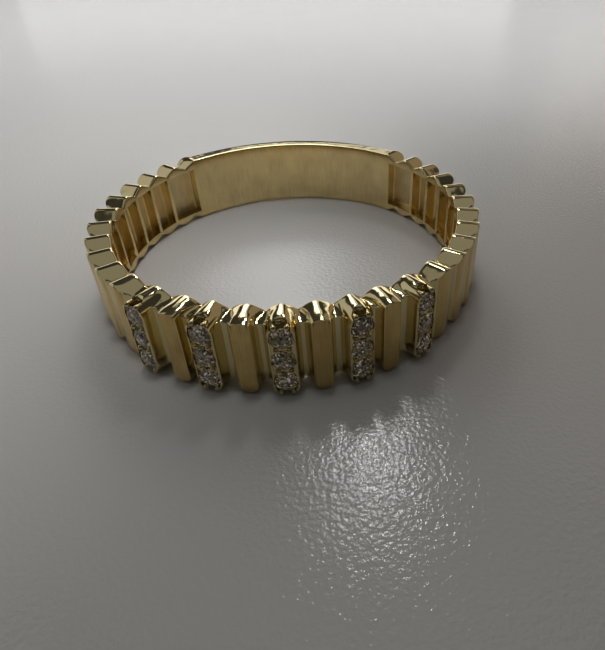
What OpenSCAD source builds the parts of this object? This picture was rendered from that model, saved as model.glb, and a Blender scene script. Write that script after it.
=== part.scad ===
// Diamond band: a fluted gold finger ring, five bars of which are set with three diamonds each.
// It lies on its side. The finger hole runs along Z, and the middle diamond bar faces -Y.

/* [Finger hole] */
// Diameter of the finger hole
bore_d = 17; // [16:0.1:18]

/* [Band] */
// Height of the band from edge to edge
band_h = 3.6; // [3.6:0.05:3.8]
// Metal from the finger hole out to the floor of the grooves
groove_wall = 0.8; // [0.75:0.05:0.85]
// Metal from the finger hole out to the faces of the plain front bars
front_wall = 1.34; // [1.32:0.01:1.4]
// Metal from the finger hole out to the face between the diamonds
gem_wall = 1.4; // [1.38:0.01:1.42]
// Metal from the finger hole out to the faces of the side bars
side_wall = 1.1; // [1.05:0.01:1.15]
// Depth of the dips between the bars along both edges of the band
dip = 0.36; // [0.3:0.01:0.4]
// Rounding where the edges of the band meet the bar faces
edge_round = 0.12; // [0.1:0.01:0.2]

/* [Bars] */
// Angles from the middle diamond bar to the front bars on either side of it
front_angles = [8.9, 18.1, 26.1, 35.8]; // [8:0.1:36]
// Angle from one side bar to the next
bar_step = 9.2; // [9.1:0.05:9.25]
// Width of a plain front bar
plain_w = 0.78; // [0.74:0.01:0.82]
// Width of a diamond bar
gem_bar_w = 1.08; // [1.07:0.01:1.12]
// Width of a side bar
side_w = 1.2; // [1.1:0.01:1.22]
// Corner radius at the ends of the plain front bars
plain_end_r = 0.36; // [0.3:0.01:0.36]
// Corner radius at the ends of the diamond bars
gem_end_r = 0.44; // [0.4:0.01:0.45]
// Corner radius at the ends of the side bars
side_end_r = 0.35; // [0.25:0.01:0.4]

/* [Hollows] */
// Width of the hollow behind a bar
hollow_w = 1.15; // [0.9:0.05:1.2]
// Depth of the hollow, from the finger hole outwards
hollow_depth = 0.6; // [0.4:0.05:0.6]
// Height of the rim left above and below a hollow
rim_h = 0.5; // [0.45:0.05:0.7]

/* [Shank] */
// Thickness of the plain shank at the back
shank_t = 0.8; // [0.7:0.05:1]
// Angle from the middle of the front to the edge of the shank
shank_from = 134.2; // [134:0.1:135]
// Angle from the middle of the front to the last hollow's end wall
hollow_end = 136.8; // [136:0.1:137.5]

/* [Diamonds] */
// Diameter of a diamond
stone_d = 0.96; // [0.9:0.01:0.96]
// Distance between the centres of two diamonds in a bar
stone_step = 1.08; // [1.06:0.01:1.1]
// Height of the tables over the faces of the plain front bars
table_rise = 0.16; // [0.14:0.01:0.18]
// Gap between a diamond and its seat
seat_gap = 0.02; // [0.01:0.005:0.03]
// Diameter of the bead on a prong
bead_d = 0.22; // [0.18:0.01:0.24]

/* [Hidden] */
$fn = 96;
bore_r = bore_d / 2;
mid_z = band_h / 2;
groove_r = bore_r + groove_wall;
front_r = bore_r + front_wall;
gem_r = bore_r + gem_wall;
side_r = bore_r + side_wall;
outside = front_r + 2;
overlap = 0.2;

// Bars are counted from the middle of the front: even ones up to 4 hold diamonds, odd ones are plain
gem_bars = [-4, -2, 0, 2, 4];
plain_bars = [-3, -1, 1, 3];
side_bars = [for (k = [5:14]) for (side = [-1, 1]) side * k];
hollow_bars = concat(plain_bars, side_bars);

// The shank's outer face is an arc about its own centre: full wall at its ends, shank_t in the middle
shank_end_y = -side_r * cos(shank_from);
shank_back = bore_r + shank_t;
shank_centre_y = (pow(side_r, 2) - pow(shank_back, 2)) / (2 * (shank_end_y - shank_back));
shank_r = shank_back - shank_centre_y;

// Cut of a diamond, as shares of its diameter
table_share = 0.57;
crown_share = 0.15;
girdle_share = 0.03;
pavilion_share = 0.43;
star_share = 0.55;
lower_share = 0.78;
mains = 8;
table_at = front_r + table_rise;
girdle_at = table_at - stone_d * (crown_share + girdle_share);
culet_at = girdle_at - stone_d * pavilion_share;
// Radius of the hole behind a seat, and how far its beads stand from the bar's middle
seat_hole_r = 0.15;
bead_side = 0.25;
bead_r = bead_d / 2;

rows = [1, 0, -1];
row_names = ["top", "middle", "bottom"];
function stone_name(bar, row) = str("diamond_", bar + 1, "_", row_names[row]);

// Angle of a bar from the middle of the front
function bar_angle(k) =
    k == 0 ? 0 : abs(k) > len(front_angles) ? k * bar_step : sign(k) * front_angles[abs(k) - 1];

// Places its children at a bar, which stands at -Y before it is turned
module at_bar(k) {
    rotate([0, 0, bar_angle(k)]) children();
}

// Runs a flat outline out from the axis, between two radii
module outwards(from_r, to_r) {
    translate([0, -from_r, mid_z]) rotate([90, 0, 0]) linear_extrude(to_r - from_r) children();
}

module rounded_outline(w, h, corner_r) {
    square([w, h - 2 * corner_r], center = true);
    square([w - 2 * corner_r, h], center = true);
    for (x = [-1, 1]) for (y = [-1, 1])
        translate([x * (w / 2 - corner_r), y * (h / 2 - corner_r)]) circle(corner_r);
}

// A disc as high as the band, with rounded rims
module rounded_disc(r) {
    rotate_extrude() {
        square([r - edge_round, band_h]);
        translate([0, edge_round]) square([r, band_h - 2 * edge_round]);
        for (z = [edge_round, band_h - edge_round])
            translate([r - edge_round, z]) circle(edge_round);
    }
}

module bars(list, w, corner_r, face_r) {
    intersection() {
        rounded_disc(face_r);
        for (k = list)
            at_bar(k) outwards(bore_r - overlap, outside) rounded_outline(w, band_h, corner_r);
    }
}

module shank() {
    far = 2 * outside;
    intersection() {
        translate([0, shank_centre_y, 0]) rounded_disc(shank_r);
        linear_extrude(band_h) polygon([
            [0, 0],
            [far * sin(shank_from), -far * cos(shank_from)],
            [0, far],
            [-far * sin(shank_from), -far * cos(shank_from)]
        ]);
    }
}

// Hollow behind a bar, and a second one that widens the last hollow up to its end wall
module hollows() {
    half_angle = asin(hollow_w / 2 / bore_r);
    for (k = hollow_bars) at_bar(k) hollow();
    for (side = [-1, 1]) rotate([0, 0, side * (hollow_end - half_angle)]) hollow();
}

module hollow() {
    outwards(bore_r - overlap, bore_r + hollow_depth)
        square([hollow_w, band_h - 2 * rim_h], center = true);
}

// Seat of one diamond: a straight bore round the girdle, a cone for the pavilion and a hole behind it
module seat() {
    seat_r = stone_d / 2 + seat_gap;
    rotate([90, 0, 0]) {
        translate([0, 0, girdle_at - seat_gap]) cylinder(h = outside - girdle_at, r = seat_r);
        translate([0, 0, culet_at - seat_gap])
            cylinder(h = girdle_at - culet_at, r1 = seat_hole_r, r2 = seat_r);
        translate([0, 0, bore_r - overlap]) cylinder(h = culet_at - bore_r + overlap, r = seat_hole_r);
    }
}

module seats() {
    for (k = gem_bars) at_bar(k)
        for (row = rows) translate([0, 0, mid_z + row * stone_step]) seat();
}

// Pairs of prong beads above, between and below the diamonds of a bar
module beads() {
    for (k = gem_bars) at_bar(k)
        for (level = [-1.5, -0.5, 0.5, 1.5]) for (side = [-1, 1])
            translate([side * bead_side, bead_r - table_at, mid_z + level * stone_step])
                sphere(bead_r);
}

module band() {
    color("goldenrod") {
        difference() {
            union() {
                translate([0, 0, dip]) cylinder(h = band_h - 2 * dip, r = groove_r);
                bars(plain_bars, plain_w, plain_end_r, front_r);
                bars(gem_bars, gem_bar_w, gem_end_r, gem_r);
                bars(side_bars, side_w, side_end_r, side_r);
                shank();
            }
            translate([0, 0, -overlap]) cylinder(h = band_h + 2 * overlap, r = bore_r);
            hollows();
            seats();
        }
        beads();
    }
}

// A point on a ring about Z
function on_ring(r, angle, z) = [r * cos(angle), r * sin(angle), z];

// One diamond, a round brilliant about its own Z axis, with the lower edge of its girdle at z = 0
module brilliant(d) {
    r = d / 2;
    half = 180 / mains;
    crown_h = crown_share * d;
    pavilion_h = pavilion_share * d;
    girdle_z = girdle_share * d;
    table_r = table_share * r;
    flat_r = table_r * cos(half);
    star_r = flat_r + star_share * (r - flat_r);
    star_z = girdle_z + crown_h * (r - star_r * cos(half)) / (r - table_r);
    lower_r = r * (1 - lower_share);
    lower_z = -pavilion_h * (1 - lower_r * cos(half) / r);
    ring = 2 * mains;
    points = concat(
        [for (i = [0:mains - 1]) on_ring(table_r, 2 * i * half, girdle_z + crown_h)],
        [for (i = [0:mains - 1]) on_ring(star_r, (2 * i + 1) * half, star_z)],
        [for (j = [0:ring - 1]) on_ring(r, j * half, girdle_z)],
        [for (j = [0:ring - 1]) on_ring(r, j * half, 0)],
        [for (i = [0:mains - 1]) on_ring(lower_r, (2 * i + 1) * half, lower_z)],
        [[0, 0, -pavilion_h]]
    );
    // Places of the points above in their list
    function table_pt(i) = i % mains;
    function star_pt(i) = mains + (i + mains) % mains;
    function upper_pt(j) = 2 * mains + j % ring;
    function under_pt(j) = 2 * mains + ring + j % ring;
    function lower_pt(i) = 2 * mains + 2 * ring + (i + mains) % mains;
    culet = len(points) - 1;
    faces = [
        [for (i = [mains - 1:-1:0]) table_pt(i)],
        for (i = [0:mains - 1]) each [
            [table_pt(i), table_pt(i + 1), star_pt(i)],
            [table_pt(i), star_pt(i), upper_pt(2 * i), star_pt(i - 1)],
            [star_pt(i), upper_pt(2 * i + 1), upper_pt(2 * i)],
            [star_pt(i), upper_pt(2 * i + 2), upper_pt(2 * i + 1)],
            [lower_pt(i), under_pt(2 * i), under_pt(2 * i + 1)],
            [lower_pt(i), under_pt(2 * i + 1), under_pt(2 * i + 2)],
            [culet, lower_pt(i - 1), under_pt(2 * i), lower_pt(i)]
        ],
        for (j = [0:ring - 1]) [upper_pt(j), upper_pt(j + 1), under_pt(j + 1), under_pt(j)]
    ];
    polyhedron(points, faces);
}

module diamond(bar, row) {
    color("aliceblue") at_bar(gem_bars[bar])
        translate([0, -girdle_at, mid_z + rows[row] * stone_step])
            rotate([90, 0, 0]) brilliant(stone_d);
}

band();
for (bar = [0:4]) for (row = [0:2])
    diamond(bar, row);
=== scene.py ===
import math
from collections import namedtuple

import bmesh
import bpy
from mathutils import Matrix, Vector


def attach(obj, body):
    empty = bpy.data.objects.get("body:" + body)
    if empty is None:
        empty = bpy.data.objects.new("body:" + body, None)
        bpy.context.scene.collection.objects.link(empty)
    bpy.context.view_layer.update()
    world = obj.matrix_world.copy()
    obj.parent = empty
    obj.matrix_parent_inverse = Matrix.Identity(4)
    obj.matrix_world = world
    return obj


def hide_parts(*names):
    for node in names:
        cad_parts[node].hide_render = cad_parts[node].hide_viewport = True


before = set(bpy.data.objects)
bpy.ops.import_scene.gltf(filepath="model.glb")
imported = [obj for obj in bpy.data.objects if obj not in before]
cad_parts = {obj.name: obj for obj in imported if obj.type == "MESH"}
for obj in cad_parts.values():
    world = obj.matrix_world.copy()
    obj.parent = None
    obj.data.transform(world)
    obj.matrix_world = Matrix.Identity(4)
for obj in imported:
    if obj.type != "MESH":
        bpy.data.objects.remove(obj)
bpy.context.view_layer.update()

# The view. A close camera stands in front of the ring and above it, a little to the right
# of the middle diamond bar. Lengths are in millimetres here and in the mesh sections.
MM = 0.001
IMAGE_W, IMAGE_H = 605, 650
SENSOR = 36.0
view_distance, view_height, view_nearest = 25.97, 15.937, 1
view_side = math.radians(4.292)
view_pan, view_tilt, view_roll = (math.radians(a) for a in (8.954, 37.806, 0.027))
view_focal_px = 550.17
view_centre_px = (368.1, 323.0)

forward = Vector((math.sin(view_pan) * math.cos(view_tilt), math.cos(view_pan) * math.cos(view_tilt),
                  -math.sin(view_tilt)))
level = Vector((math.cos(view_pan), -math.sin(view_pan), 0))
down = forward.cross(level)
right = level * math.cos(view_roll) + down * math.sin(view_roll)
down = down * math.cos(view_roll) - level * math.sin(view_roll)
to_ring = Matrix.Rotation(view_side, 3, "Z")
camera_data = bpy.data.cameras.new("view")
camera_data.sensor_fit = "VERTICAL"
camera_data.sensor_height = SENSOR
camera_data.lens = view_focal_px / IMAGE_H * SENSOR
camera_data.shift_x = (IMAGE_W / 2 - view_centre_px[0]) / IMAGE_H
camera_data.shift_y = (view_centre_px[1] - IMAGE_H / 2) / IMAGE_H
camera_data.clip_start = view_nearest * MM
camera = bpy.data.objects.new("view", camera_data)
bpy.context.collection.objects.link(camera)
axes = Matrix((to_ring @ right, to_ring @ -down, to_ring @ -forward)).transposed()
spot = Vector((view_distance * math.sin(view_side), -view_distance * math.cos(view_side), view_height))
camera.matrix_world = Matrix.Translation(spot * MM) @ axes.to_4x4()
bpy.context.scene.camera = camera
bpy.context.scene.view_settings.view_transform = "Standard"

# The table top. A pale, smooth sheet lies under the ring and reaches far past the view. Its
# soft gloss changes a little from place to place, over a very fine grain.
table_half = 400 * MM
table_grey = (0.66, 0.64, 0.61, 1)
table_rough, cloud_rough, cloud_scale = 0.09, 0.08, 120.0
table_grain_scale, table_grain_strength, table_grain_height = 5200.0, 0.75, 0.00003


class Wire:
    """An outlet of a node. Python's operators on it add Math nodes."""

    def __init__(self, tree, socket):
        self.tree = tree
        self.socket = socket

    def maths(self, operation, *values):
        node = self.tree.nodes.new("ShaderNodeMath")
        node.operation = operation
        for entry, value in zip(node.inputs, values):
            plug(self.tree, entry, value)
        return Wire(self.tree, node.outputs[0])

    def outlet(self, name):
        """Another outlet of the same node."""
        return Wire(self.tree, self.socket.node.outputs[name])

    def __add__(self, other): return self.maths("ADD", self, other)
    def __radd__(self, other): return self.maths("ADD", other, self)
    def __sub__(self, other): return self.maths("SUBTRACT", self, other)
    def __rsub__(self, other): return self.maths("SUBTRACT", other, self)
    def __mul__(self, other): return self.maths("MULTIPLY", self, other)
    def __rmul__(self, other): return self.maths("MULTIPLY", other, self)


def plug(tree, entry, value):
    """Links a wire to a node's entry, or sets a plain value there."""
    if isinstance(value, Wire):
        tree.links.new(value.socket, entry)
    else:
        entry.default_value = value


class Finish:
    """A material and its nodes."""

    def __init__(self, name):
        self.material = bpy.data.materials.new(name)
        self.material.use_nodes = True
        self.tree = self.material.node_tree
        self.tree.nodes.clear()

    def node(self, kind, settings=None, values=None, out=0):
        """Adds a node with its settings first and its entries next, and returns one outlet."""
        node = self.tree.nodes.new(kind)
        for name, value in (settings or {}).items():
            if name == "stops":
                ramp = node.color_ramp
                ramp.interpolation = "CONSTANT"
                while len(ramp.elements) < len(value):
                    ramp.elements.new(0.5)
                for element, (place, colour) in zip(ramp.elements, value):
                    element.position = place
                    element.color = colour
            else:
                setattr(node, name, value)
        for name, value in (values or {}).items():
            plug(self.tree, node.inputs[name], value)
        return Wire(self.tree, node.outputs[out]) if len(node.outputs) else None

    def place(self):
        """Where a point lies on the piece itself, in metres."""
        return self.node("ShaderNodeTexCoord", out="Object")

    def waves(self, place, scale, detail):
        """Soft random light and dark, between 0 and 1."""
        return self.node("ShaderNodeTexNoise", values={"Vector": place, "Scale": scale, "Detail": detail})

    def relief(self, height, strength, depth):
        """A fine relief on the surface, at most so many metres deep."""
        return self.node("ShaderNodeBump", values={"Strength": strength, "Distance": depth, "Height": height})

    def close(self, **values):
        """Joins the finish up and returns the material."""
        shader = self.node("ShaderNodeBsdfPrincipled", values={
            name.replace("_", " "): value for name, value in values.items()})
        self.node("ShaderNodeOutputMaterial", values={"Surface": shader})
        return self.material


table_mesh = bpy.data.meshes.new("table_top")
table_corners = [(x * table_half, y * table_half, 0) for x, y in ((-1, -1), (1, -1), (1, 1), (-1, 1))]
table_mesh.from_pydata(table_corners, [], [(0, 1, 2, 3)])
table_top = bpy.data.objects.new("table_top", table_mesh)
bpy.context.collection.objects.link(table_top)
pale = Finish("pale_table")
table_place = pale.place()
table_clouds = pale.waves(table_place, cloud_scale, detail=3.0)
table_grain = pale.waves(table_place, table_grain_scale, detail=2.0)
table_mesh.materials.append(pale.close(
    Base_Color=table_grey,
    Roughness=table_clouds * cloud_rough + table_rough,
    Normal=pale.relief(table_grain, table_grain_strength, table_grain_height),
))


# The light. A wide low wall and a narrow tall one glow behind the ring, with a window in each.
# There are weaker windows at the sides, a ceiling, two small lamps and a dim even glow. Two
# fills light the table and the metal, and don't show in its mirror reflections.
def soft_light(name, place, size, power, aim=(0, 0, 0), spread=180, tint=(1, 1, 1), mirrored=True):
    """A flat lamp that faces its aim. Its power is in watts."""
    light = bpy.data.lights.new(name, "AREA")
    light.shape = "RECTANGLE"
    light.size, light.size_y = size[0] * MM, size[1] * MM
    light.energy = power
    light.spread = math.radians(spread)
    light.color = tint
    lamp = bpy.data.objects.new(name, light)
    lamp.visible_glossy = mirrored
    bpy.context.collection.objects.link(lamp)
    away = (Vector(place) - Vector(aim)).normalized()
    facing_aim = away.to_track_quat("Z", "Y").to_matrix().to_4x4()
    lamp.matrix_world = Matrix.Translation(Vector(place) * MM) @ facing_aim


soft_light("far_wall", (0, 170, 30), (300, 50), 0.052)
soft_light("far_window", (-10, 170, 14), (150, 24), 0.003)
soft_light("back_wall", (0, 150, 95), (60, 80), 0.0105)
soft_light("back_fill", (-5, 150, 95), (150, 80), 0.0155, mirrored=False)
soft_light("window", (-22, 136, 85), (50, 50), 0.012)
soft_light("left_window", (-150, 60, 90), (160, 160), 0.034)
soft_light("right_window", (130, 130, 100), (160, 160), 0.017, tint=(1, 0.8, 0.6))
soft_light("ceiling", (0, 0, 250), (220, 220), 0.032)
soft_light("lamp", (16, 108, 162), (14, 12), 0.018)
soft_light("near_lamp", (7, 36, 54), (4, 4), 0.0013)
soft_light("near_window", (-5, 42, 40), (14, 14), 0.0014, aim=(0, 3, 0))
soft_light("pool", (-6, 10, 120), (24, 24), 0.0012, aim=(-14, 10, 0), spread=25, mirrored=False)
room_glow = 0.035
world = bpy.data.worlds.new("room")
bpy.context.scene.world = world
world.use_nodes = True
world.node_tree.nodes["Background"].inputs["Color"].default_value = (1, 1, 1, 1)
world.node_tree.nodes["Background"].inputs["Strength"].default_value = room_glow

# The band. One casting of yellow gold: a thin wall round the finger, 29 upright bars in front
# and at the sides, and a plain shank behind. The bar faces are rubbed to a satin and the
# edges are polished. The wall is hollowed out behind each bar without diamonds.
bore_r, band_h, mid_z = 8.5, 3.6, 1.8
groove_r, groove_wall = 9.3, 0.8
bar_step = 9.2
bar_angles = [0, 8.9, 18.1, 26.1, 35.8] + [bar_step * k for k in range(5, 15)]
last_front, last_bar = 4, 14
plain_w, gem_w, side_w = 0.79, 1.07, 1.2
face_plain, face_gem, face_side = 9.84, 9.94, 9.598
# How far the band's edge dips between the bars, outside and at the finger hole
dip_out, dip_in = 0.36, 0.3

# The skin is made of upright columns side by side. Each has the angle of its bar, the side of
# the bar that it is on, its distance from the bar's middle outside and at the finger hole, the
# radius of its face, the heights of the bar's end and of the rim, the part it belongs to, the
# rounding of its upper edge, and the length over which the bar's end rises out of the rim.
Column = namedtuple("Column", "centre side x_out x_in face top rim kind edge spread")
Bar = namedtuple("Bar", "width section groove edge spread soft")


def swell(t, soft):
    """Drop of a ridge from its crest (0) to the valley beside it (1): a roof with a softened ridge."""
    return (math.hypot(t, soft) - soft) / (math.hypot(1, soft) - soft)


def flat_section(width, face, corner, arch):
    """Half of a front bar's section: (x, radius, height of its end)."""
    side_round = 0.05
    points = [((width / 2 - side_round) * share, face) for share in (0, 0.3, 0.56, 0.78, 0.92)]
    for turn in (0, 30, 60, 90):
        a = math.radians(turn)
        points.append((width / 2 - side_round * (1 - math.sin(a)), face - side_round * (1 - math.cos(a))))
    ends = []
    for x, r in points:
        past = max(x - (width / 2 - corner), 0)
        bow = arch * (2 * x / width) ** 2
        ends.append((x, r, band_h - bow - corner + math.sqrt(max(corner ** 2 - past ** 2, 0))))
    return ends


def arched_section(width, face, fall):
    """Half of a side bar's section, a shallow arch that falls faster at its sides."""
    points = []
    for share in (0, 0.28, 0.5, 0.66, 0.78, 0.87, 0.93, 0.97, 1):
        drop = fall * (0.5 * share ** 2 + 0.5 * share ** 6)
        points.append((share * width / 2, face - drop, None))
    return points


def round_channel(wall_x, half_gap):
    """The round channel between two front bars, from the foot of a bar to its middle."""
    rises = ((0.03, 0.32), (0.12, 0.17), (0.3, 0.085), (0.55, 0.025), (0.8, 0.002))
    foot_drop, middle_drop = 0.33, 0.05
    return [(wall_x + half_gap * share, groove_r + rise,
             band_h - foot_drop - middle_drop * math.sin(share * math.pi / 2)) for share, rise in rises]


def shallow_groove(wall_x, half_gap):
    """The shallow groove between two side bars."""
    rises = ((0.2, 0.123), (0.4, 0.073), (0.6, 0.034), (0.8, 0.009), (0.93, 0.001))
    return [(wall_x + half_gap * share, groove_r + rise, None) for share, rise in rises]


bars = {
    "plain": Bar(plain_w, flat_section(plain_w, face_plain, corner=0.08, arch=0.08), round_channel,
                 edge=0.06, spread=0.14, soft=0.4),
    "gem": Bar(gem_w, flat_section(gem_w, face_gem, corner=0.5, arch=0.0), round_channel,
               edge=0.07, spread=0.4, soft=0.4),
    "side": Bar(side_w, arched_section(side_w, face_side, fall=0.12), shallow_groove,
                edge=0.1, spread=0.12, soft=0.2),
}
# Places of the columns on the inner wall, from the middle of a bar to the middle of its groove
hollow_places = [0, 0.16, 0.3, 0.42, 0.5, 0.54, 0.562, 0.5715, 0.5785, 0.592, 0.61, 0.63, 0.65, 0.667]
solid_shares = [0, 0.1, 0.2, 0.3, 0.4, 0.5, 0.6, 0.66, 0.72, 0.78, 0.84, 0.9, 0.94, 0.97]
last_places = [0, 0.15, 0.28, 0.38, 0.44, 0.47, 0.5, 0.53, 0.55, 0.57, 0.585, 0.6, 0.62, 0.64]
shank_places = [0, 0.05, 0.09, 0.12, 0.1425, 0.1485, 0.17, 0.205, 0.27, 0.34, 0.41, 0.48, 0.54, 0.6]


def kind_of(k):
    """Bars are counted from the middle of the front: diamonds stand on every other front bar."""
    return "side" if k > last_front else "plain" if k % 2 else "gem"


# The shank is an arc of its own, which starts flush with the last side bar. Each end of it is
# drawn as half of a side bar, flat but for its rounded side.
shank_from, groove_end, hollow_end = 134.2, 133.29, 136.8
shank_centre_y, shank_r = -1.0873, 10.3873
shank_end_half, shank_flat, shank_round, shank_columns = 0.6, 0.4, 0.27, 28
# Grooves: how deep the ones between the front bars lie, how soon their end rises, and how far
# from a hollow's bar they meet the finger hole, in degrees
front_dip, groove_spread, inner_reach = 0.38, 0.12, 4.6


def half_bar(centre, side, kind, middles, inner_places, named=None):
    """Columns from a bar's middle to the middles of the groove beside it, outside and inside."""
    bar = bars[kind]
    half = bar.width / 2
    reach_out = groove_r * math.sin(math.radians(abs(middles[0] - centre)))
    reach_in = bore_r * math.sin(math.radians(abs(middles[1] - centre)))
    section = bar.section + bar.groove(half, reach_out - half)
    half_columns = []
    for n, ((x, r, top), x_in) in enumerate(zip(section, inner_places)):
        part = (named or kind) if n < len(bar.section) else "groove"
        rim = band_h - dip_in * swell(min(x_in / reach_in, 1), bar.soft)
        if top is None:
            top = band_h - dip_out * swell(x / reach_out, bar.soft)
        half_columns.append(Column(centre, side, x, x_in, r, top, rim, part, bar.edge, bar.spread))
    return half_columns


def foot_angle(k, side):
    """Angle of a bar's side where it meets the groove."""
    return bar_angles[k] + side * math.degrees(math.asin(bars[kind_of(k)].width / 2 / groove_r))


def middles_after(k):
    """Middle of the groove after bar k, outside and at the finger hole."""
    if k == last_bar:
        return groove_end, groove_end
    outside = (foot_angle(k, 1) + foot_angle(k + 1, -1)) / 2
    if kind_of(k) == "gem":
        return outside, bar_angles[k + 1] - inner_reach
    return outside, bar_angles[k] + inner_reach


def places_inside(k, side, middles):
    """Places of a bar's columns on the inner wall, on one side of it."""
    if kind_of(k) == "gem":
        reach = bore_r * math.sin(math.radians(abs(middles[1] - bar_angles[k])))
        return [share * reach for share in solid_shares]
    return last_places if (k, side) == (last_bar, 1) else hollow_places


half_ring = []
for k in range(last_bar + 1):
    if k:
        before = middles_after(k - 1)
        left = half_bar(bar_angles[k], -1, kind_of(k), before, places_inside(k, -1, before))
        half_ring += reversed(left[1:])
    middles = middles_after(k)
    half_ring += half_bar(bar_angles[k], 1, kind_of(k), middles, places_inside(k, 1, middles))
    skew = bore_r * math.sin(math.radians(middles[1] - middles[0]))
    valley = band_h - (front_dip if k < last_front else dip_out)
    half_ring.append(Column(middles[0], 1, 0, skew, groove_r, valley, band_h - dip_in, "groove",
                            None, groove_spread))
shank_half = math.degrees(math.asin(shank_end_half / face_side))
shank_start = shank_from + shank_half
for column in reversed(half_bar(shank_start, -1, "side", (groove_end, groove_end), shank_places, "shank")):
    flush = column.kind == "shank" and column.x_out < shank_flat
    half_ring.append(column._replace(face=face_side) if flush else column)
for n in range(1, shank_columns + 1):
    angle = shank_start + (180 - shank_from - shank_half) * n / shank_columns
    from_back = math.radians(180 - angle)
    arc_half = math.sqrt(shank_r ** 2 - (shank_centre_y * math.sin(from_back)) ** 2)
    face = shank_centre_y * math.cos(from_back) + arc_half
    half_ring.append(Column(angle, 1, 0, 0, min(face, face_side), band_h, band_h, "shank",
                            shank_round, groove_spread))
columns = half_ring + [c._replace(centre=-c.centre, side=-c.side) for c in reversed(half_ring[1:-1])]

# The hollows behind the bars: the radius of their floor, their top and half their width, the rounds
# of their floor and roof, and the small ones where they meet the inner wall
hollow_r, hollow_top, hollow_half = 9.1, 3.1, 0.575
floor_round, roof_round = 0.05, 0.06
mouth_round, mouth_bevel, mouth_step, mouth_depth = 0.04, 0.006, 0.01, 0.012
hollow_turn = math.degrees(math.asin(hollow_half / bore_r))
hollows = [bar_angles[k] for k in range(last_bar + 1) if kind_of(k) != "gem"]
hollow_spans = [(c - hollow_turn, c + hollow_turn) for c in hollows[:-1]]
hollow_spans.append((hollows[-1] - hollow_turn, hollow_end))


def turn_of(column, x, r):
    """Angle of a place beside a column's bar, from the middle of the front."""
    return math.radians(column.centre) + column.side * math.asin(x / r)


def wall_r(column):
    """Radius of the inner wall half way up: the bore, or the floor of a hollow."""
    angle = abs(math.degrees(turn_of(column, column.x_in, bore_r)))
    inside = max(min(angle - low, high - angle) for low, high in hollow_spans) * math.radians(bore_r)
    if inside < -mouth_bevel:
        return bore_r
    if inside < 0:
        return bore_r + mouth_depth
    return hollow_r - max(0.0, floor_round - inside)


def ease(t):
    """A smooth step from 0 to 1."""
    t = min(max(t, 0), 1)
    return t * t * (3 - 2 * t)


def low_blend(a, b, width):
    """The lower of two heights, with a soft join."""
    h = max(width - abs(a - b), 0) / width
    return min(a, b) - h * h * width / 4


# The top of the band: its round at the finger hole, the rows of skin from there to the foot of the
# bars, and the radius where the columns have spread to the bars
rim_round, rim_rows, rim_out_r, spread_out_r = 0.07, 5, 9.2, 9.25
# The ends of the front bars slope down to their faces by this much over this depth. Each bar's end
# starts this far out from the groove, and runs into its rounded edge over this height.
front_fall, front_depth, end_start, end_blend = 0.04, 0.55, 0.05, 0.05


def ring_point(column, r, z):
    """A point of the top surface, whose columns spread from the narrow bars to the full rim."""
    share = ease((r - bore_r) / (spread_out_r - bore_r))
    x = column.x_in + (column.x_out - column.x_in) * share
    return (turn_of(column, x, r), r, z)


def top_z(column, r):
    """Height of the top surface: from the wavy rim to the height at the groove, then to the bar's own end."""
    at_groove = max(column.top, band_h - dip_out)
    share = min(max((r - bore_r) / groove_wall, 0), 1)
    past = ease((r - groove_r - end_start) / column.spread)
    front = column.kind in ("plain", "gem")
    fall = front_fall * max((r - groove_r) / front_depth, 0) ** 2 if front else 0
    return column.rim + (at_groove - column.rim) * share + (column.top - at_groove) * past - fall


# Heights of the rows of skin on the inner wall and on a bar's face, between the middle of the band
# and its edge
half_up, under_roof, over_mouth = 2.5, 3.04, 3.15
wall_heights = (mid_z, half_up, under_roof, 3.08, hollow_top, 3.12, over_mouth)
face_heights = (3.06, 2.75, 2.3, mid_z)
# The channels between the front bars, up to this angle: how far the rim stands out over them, and
# the bevel and the rows of skin under it. The lower ends of the plain bars are rounder than the upper.
front_end, channel_lip, channel_bevel, bevel_middle = 40, 0.08, 0.035, 0.29
under_bevel, first_row, next_row = 0.01, 0.03, 0.02
lower_edge = 0.12


def inner_steps(column):
    """The inner wall from its middle up, as (radius, height): plain, or into a hollow and out again."""
    wall, mouth = wall_r(column), bore_r + mouth_round
    if wall > bore_r:
        return [(wall, mid_z), (wall, half_up), (wall, under_roof),
                (max(wall - roof_round, mouth), hollow_top), (min(wall, mouth), hollow_top),
                (bore_r + mouth_step, hollow_top + mouth_depth), (bore_r, over_mouth)]
    return [(bore_r, z) for z in wall_heights]


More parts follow.
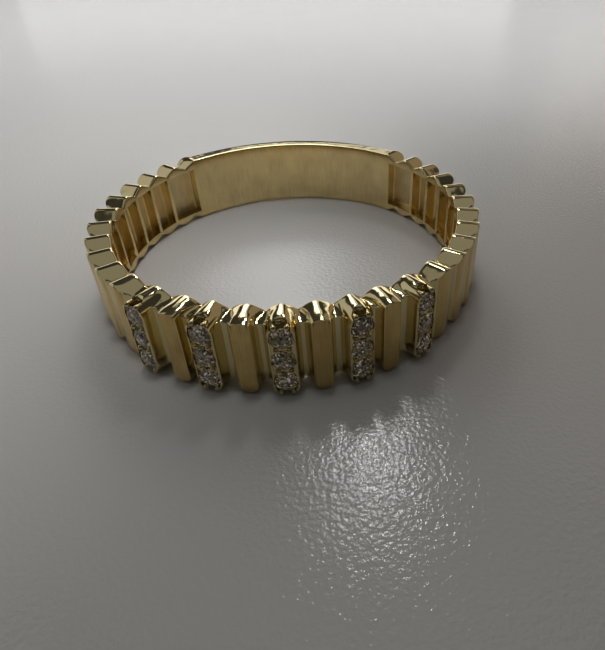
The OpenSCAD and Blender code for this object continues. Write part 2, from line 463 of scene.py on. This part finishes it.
def upper_half(column, lip, turned_over=False):
    """One column of the skin: from the middle of the inner wall, over the rim, to the middle outside."""
    points = [(turn_of(column, column.x_in, r), r, z) for r, z in inner_steps(column)]
    rim_top = top_z(column, bore_r + rim_round)
    for turn in (0, 30, 60, 90):
        a = math.radians(turn)
        r = bore_r + rim_round * (1 - math.cos(a))
        points.append(ring_point(column, r, rim_top - rim_round * (1 - math.sin(a))))
    for n in range(1, rim_rows + 1):
        r = bore_r + rim_round + (rim_out_r - bore_r - rim_round) * n / rim_rows
        points.append(ring_point(column, r, top_z(column, r)))
    if column.kind == "groove":
        outer, top, bevel = max(column.face, groove_r + lip), column.top, channel_bevel
        steps = [((rim_out_r + outer - bevel) / 2, top), (outer - bevel, top),
                 (outer - bevel * bevel_middle, top - bevel * bevel_middle), (outer, top - bevel),
                 (outer, top - bevel - under_bevel)]
        steps += [(column.face, top - bevel - first_row - next_row * n) for n in range(4)]
        points += [ring_point(column, r, z) for r, z in steps]
    else:
        edge = lower_edge if turned_over else column.edge
        start = column.face - edge
        for n in (1, 2, 3):
            r = rim_out_r + (start - rim_out_r) * n / 3
            points.append(ring_point(column, r, top_z(column, r)))
        for turn in (15, 30, 45, 60, 75, 90):
            a = math.radians(turn)
            r = start + edge * math.sin(a)
            rounding = edge * (1 - math.cos(a))
            end = top_z(column, r)
            z = end - rounding if turned_over else low_blend(band_h - rounding, end, end_blend)
            points.append(ring_point(column, r, z))
    return points + [ring_point(column, column.face, z) for z in face_heights]


def lower_end(column):
    """Height of a bar's lower end, turned over: a plain front bar ends in a full half circle."""
    if column.kind != "plain":
        return column.top
    half = plain_w / 2
    return band_h - half + math.sqrt(max(half ** 2 - column.x_out ** 2, 0))


rings = []
for column in columns:
    upper = upper_half(column, channel_lip if abs(column.centre) < front_end else 0.0)
    lower = upper_half(column._replace(top=lower_end(column)), 0.0, column.kind == "plain")
    rings.append(upper + [(a, r, band_h - z) for a, r, z in reversed(lower[1:-1])])
rows, upper_rows = len(rings[0]), len(upper)

# Finishes of the skin, in the order of the band's materials. The satin stops this far from the side
# of a bar, and a column is in a hollow if its wall lies at least this far out from the finger hole.
POLISHED, SATIN, CAST, INNER = range(4)
satin_margin, hollow_least = 0.02, 0.1
# Rows of skin on the floor of a hollow, on the inner wall and on a bar's face
floor_rows, wall_rows, face_rows = 3, 7, 5


def on_face(column):
    """Whether a column stands on a face that is rubbed to a satin."""
    return column.kind in ("plain", "side") and column.x_out <= bars[column.kind].width / 2 - satin_margin


def finish_of(row, rubbed, hollowed):
    """Finish of the skin at a row, counted from the middle of the inner wall."""
    if rubbed and row >= upper_rows - face_rows:
        return SATIN
    if row < wall_rows:
        return CAST if hollowed and row < floor_rows else INNER
    return POLISHED


faces, finishes = [], []
for c, column in enumerate(columns):
    after = (c + 1) % len(columns)
    pair = (column, columns[after])
    rubbed = all(on_face(p) for p in pair)
    hollowed = all(wall_r(p) > bore_r + hollow_least for p in pair)
    for j in range(rows):
        up = (j + 1) % rows
        faces.append((c * rows + j, c * rows + up, after * rows + up, after * rows + j))
        finishes.append(finish_of(min(j, rows - 1 - j), rubbed, hollowed))
band_mesh = bpy.data.meshes.new("band_metal")
band_mesh.from_pydata([(r * math.sin(a) * MM, -r * math.cos(a) * MM, z * MM)
                       for ring in rings for a, r, z in ring], [], faces)
band_mesh.polygons.foreach_set("material_index", finishes)
band_mesh.polygons.foreach_set("use_smooth", [True] * len(faces))
band_mesh.update()
band_metal = bpy.data.objects.new("band_metal", band_mesh)
bpy.context.collection.objects.link(band_metal)

# The polished gold of edges, rims and beads has faint hand waves, and smudges that dull it here
# and there. The other golds are rubbed along the finger hole and darker between the lines. The satin
# of the bar faces is painted darker, as painted shade; the cast and inner golds are painted lighter, as
# painted light.
pale_gold = (0.76, 0.64, 0.35, 1)
# Painted shade: the satin is darker than the polished gold; its streaks vary at random.
painted_shade_satin_dark, painted_shade_satin_light = (0.38, 0.26, 0.09, 1), (0.76, 0.56, 0.225, 1)
# Painted light: the gold of the hollows and of the inner wall is lighter than the polished gold, as if more
# light fell in these recesses.
painted_light_cast_dark, painted_light_cast_light = (0.62, 0.48, 0.25, 1), (0.95, 0.78, 0.44, 1)
painted_light_inner_dark, painted_light_inner_light = (0.6, 0.46, 0.22, 1), (0.93, 0.75, 0.38, 1)
hand_wave_scale, hand_wave_strength, hand_wave_height = 1400.0, 0.35, 0.00006
smudge_scale, smudge_rough, polished_rough = 600.0, 0.08, 0.05
polished = Finish("polished_gold")
gold_place = polished.place()
hand_waves = polished.waves(gold_place, hand_wave_scale, detail=1.0)
smudges = polished.waves(gold_place, smudge_scale, detail=4.0)
band_mesh.materials.append(polished.close(
    Base_Color=pale_gold,
    Metallic=1.0,
    Roughness=smudges * smudge_rough + polished_rough,
    Normal=polished.relief(hand_waves, hand_wave_strength, hand_wave_height),
))


def brushed(name, roughness, strength, dark, light):
    """Gold rubbed along the finger hole: fine upright lines over a soft sheen."""
    lines_round, lines_up, line_height, line_rough = 211.2, 700.0, 0.00001, 0.08
    patch_scale, patch_rough = 900.0, 0.1
    line_share, patch_share, streak_start = 1.4, 1.1, 0.6
    gold = Finish(name)
    place = gold.place()
    split = gold.node("ShaderNodeSeparateXYZ", values={"Vector": place})
    x, y, z = (split.outlet(axis) for axis in "XYZ")
    turn = x.maths("ARCTAN2", x, y)
    across = gold.node("ShaderNodeCombineXYZ", values={"X": turn * lines_round, "Y": z * lines_up, "Z": 0.0})
    lines = gold.waves(across, 1.0, detail=3.0)
    patches = gold.waves(place, patch_scale, detail=2.0)
    streak = lines * line_share + patches * patch_share - streak_start
    return gold.close(
        Base_Color=gold.node("ShaderNodeMix", {"data_type": "RGBA"}, {0: streak, 6: dark, 7: light}, 2),
        Metallic=1.0,
        Roughness=patches * patch_rough + lines * line_rough + roughness,
        Normal=gold.relief(lines, strength, line_height),
    )


for gold_finish in (
        brushed("satin_gold_painted_shade", roughness=0.12, strength=0.8, dark=painted_shade_satin_dark, light=painted_shade_satin_light),
        brushed("cast_gold_painted_light", roughness=0.3, strength=0.5, dark=painted_light_cast_dark, light=painted_light_cast_light),
        brushed("inner_gold_painted_light", roughness=0.12, strength=0.8, dark=painted_light_inner_dark, light=painted_light_inner_light)):
    band_mesh.materials.append(gold_finish)

# The seats. Each diamond bar has a shallow pocket with rounded ends cut into its face, and three
# round seats in it: a straight bore for the girdle, a cone for the pavilion, and a small hole
# through to the finger. A scoop above and below the stones leaves room for the prong beads.
gem_bars = (-4, -2, 0, 2, 4)
rows_of_stones = (1.08, 0.0, -1.08)
open_r = 10.2
pocket_w, pocket_h, pocket_r, pocket_corner, corner_steps = 0.9, 3.24, 9.81, 0.32, 12
seat_profile = ((0.15, 8.3), (0.15, 9.38), (0.495, 9.8), (0.495, open_r))
seat_sides, scoop_sides = 40, 48
scoop_centre_r = 9.85
scoop_ends = ((3.24, 3.8, 1), (0.36, -0.2, -1))
scoop_flare = ((0.4, 1.7), (0.415, 1.74), (0.45, 1.77), (0.52, 1.795))
scoop_floor, scoop_mouth = 0.39, 0.6
sharp_from = math.radians(38)


def stack(sheet, loops):
    """Joins loops of points, each above the last, and closes the first and the last one."""
    hoops = [[sheet.verts.new(point) for point in loop] for loop in loops]
    for lower, upper in zip(hoops, hoops[1:]):
        for n in range(len(lower)):
            m = (n + 1) % len(lower)
            sheet.faces.new((lower[n], lower[m], upper[m], upper[n]))
    sheet.faces.new(list(reversed(hoops[0])))
    sheet.faces.new(hoops[-1])


def lathe(sheet, place, profile, sides):
    """A turned form of (radius, height) pairs about Z, placed by a matrix."""
    turns = [math.tau * n / sides for n in range(sides)]
    stack(sheet, [[place @ Vector((r * math.cos(a), r * math.sin(a), h)) for a in turns] for r, h in profile])


def outward(k, z):
    """A place on a bar's middle line, with its own Z pointing out of the ring."""
    angle = math.copysign(bar_angles[abs(k)], k)
    return Matrix.Rotation(math.radians(angle), 4, "Z") @ Matrix.Translation((0, 0, z)) \
        @ Matrix.Rotation(math.radians(90), 4, "X")


def solid(name, sheet, material):
    """Makes an object out of a sheet in millimetres."""
    bmesh.ops.recalc_face_normals(sheet, faces=sheet.faces)
    bmesh.ops.scale(sheet, vec=(MM, MM, MM), verts=sheet.verts)
    mesh = bpy.data.meshes.new(name)
    sheet.to_mesh(mesh)
    sheet.free()
    mesh.materials.append(material)
    piece = bpy.data.objects.new(name, mesh)
    bpy.context.collection.objects.link(piece)
    return piece


def cut(piece, cutter):
    """Takes the cutter out of the piece for good."""
    step = piece.modifiers.new("cut", "BOOLEAN")
    step.operation = "DIFFERENCE"
    step.solver = "EXACT"
    step.material_mode = "TRANSFER"
    step.object = cutter
    cut_piece = piece.evaluated_get(bpy.context.evaluated_depsgraph_get())
    cut_mesh = bpy.data.meshes.new_from_object(cut_piece)
    piece.modifiers.clear()
    cut_mesh.name = piece.data.name
    piece.data = cut_mesh
    bpy.data.objects.remove(cutter)


pocket_outline = []
for side_x, side_z, first in ((1, 1, 0), (-1, 1, 90), (-1, -1, 180), (1, -1, 270)):
    for n in range(corner_steps + 1):
        a = math.radians(first + 90 * n / corner_steps)
        pocket_outline.append((side_x * (pocket_w / 2 - pocket_corner) + pocket_corner * math.cos(a),
                               side_z * (pocket_h / 2 - pocket_corner) + pocket_corner * math.sin(a)))
pockets, seats, scoops = bmesh.new(), bmesh.new(), bmesh.new()
for k in gem_bars:
    bar_middle = outward(k, mid_z)
    stack(pockets, [[bar_middle @ Vector((x, y, r)) for x, y in pocket_outline] for r in (pocket_r, open_r)])
    for z in rows_of_stones:
        lathe(seats, outward(k, mid_z + z), seat_profile, seat_sides)
    scoop_place = Matrix.Translation(outward(k, 0) @ Vector((0, 0, scoop_centre_r)))
    for floor_z, open_z, out in scoop_ends:
        flare = [(r, mid_z + out * z) for r, z in scoop_flare]
        lathe(scoops, scoop_place, [(scoop_floor, floor_z)] + flare + [(scoop_mouth, open_z)], scoop_sides)
for name, cutters in (("pockets", pockets), ("seats", seats), ("scoops", scoops)):
    cut(band_metal, solid(name, cutters, band_metal.data.materials[POLISHED]))
band_metal.data.set_sharp_from_angle(angle=sharp_from)
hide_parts("band")
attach(band_metal, "root")

# The prong beads. Small round grains of the bar's own gold, pushed over the stones' edges in
# pairs: above, between and below the diamonds of each bar.
bead_round, bead_neck, bead_root, bead_foot, bead_side, bead_sides = 0.115, 0.095, -0.45, -0.06, 0.25, 16
bead_turns = [math.radians(a) for a in (105, 90, 74, 58, 42, 26, 10)]
bead_profile = [(bead_neck, bead_root), (bead_neck, bead_foot)]
bead_profile += [(bead_round * math.sin(a), bead_round * math.cos(a)) for a in bead_turns]
bead_levels = ((1.62, 9.86), (0.54, 9.885), (-0.54, 9.885), (-1.62, 9.86))
beads = bmesh.new()
for k in gem_bars:
    for level_z, bead_r in bead_levels:
        for side in (-1, 1):
            bead_place = outward(k, mid_z + level_z) @ Matrix.Translation((side * bead_side, 0, bead_r))
            lathe(beads, bead_place, bead_profile, bead_sides)
prong_beads = solid("prong_beads", beads, band_metal.data.materials[POLISHED])
prong_beads.data.polygons.foreach_set("use_smooth", [True] * len(prong_beads.data.polygons))
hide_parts("band")
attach(prong_beads, "root")

# The diamonds. Fifteen round brilliants of nearly a millimetre, cut with flat facets all round.
# They stand in columns of three on five bars, each in its seat and held by the prong beads.
# Their facets break the room up into small bright and dark glints, and more glints are painted on.
glint_scale, glint_middle, glint_lean = 15000.0, (0.5, 0.5, 0.5), (1.5, 1.5, 1.5)
# Painted reflection: each small facet gets a tint from dark to near white, warm like the gold beside it.
painted_glint_tints = (
    (0.0, (0.05, 0.035, 0.015, 1)), (0.25, (0.16, 0.115, 0.05, 1)), (0.5, (0.27, 0.22, 0.14, 1)),
    (0.75, (0.42, 0.38, 0.3, 1)), (0.92, (0.85, 0.82, 0.75, 1)))
# Painted glints: the brightest facets glow a little, though a diamond gives no light of its own.
painted_glow_tints = (
    (0.0, (0.01, 0.007, 0.003, 1)), (0.4, (0.06, 0.04, 0.015, 1)), (0.62, (0.16, 0.12, 0.055, 1)),
    (0.8, (0.42, 0.36, 0.25, 1)), (0.93, (1, 0.95, 0.85, 1)))
clear = Finish("diamond")
facet = clear.node("ShaderNodeNewGeometry", out="Normal")
glints = clear.node("ShaderNodeTexVoronoi", out="Color",
                    values={"Vector": clear.place(), "Scale": glint_scale})
lean = clear.node("ShaderNodeVectorMath", {"operation": "SUBTRACT"}, {0: glints, 1: glint_middle})
turned = clear.node("ShaderNodeVectorMath", {"operation": "MULTIPLY_ADD"},
                    {0: lean, 1: glint_lean, 2: facet})
one_glint = clear.node("ShaderNodeSeparateColor", values={"Color": glints})
diamond_finish = clear.close(
    Base_Color=clear.node("ShaderNodeValToRGB", {"stops": painted_glint_tints}, {"Fac": one_glint}),
    Roughness=0.0,
    IOR=2.42,
    Transmission_Weight=0.4,
    Specular_IOR_Level=0.3,
    Emission_Color=clear.node("ShaderNodeValToRGB", {"stops": painted_glow_tints}, {"Fac": one_glint}),
    Emission_Strength=0.14,
    Normal=clear.node("ShaderNodeVectorMath", {"operation": "NORMALIZE"}, {0: turned}),
)
for name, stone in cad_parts.items():
    if name.startswith("diamond"):
        for slot in stone.material_slots:
            slot.material = diamond_finish
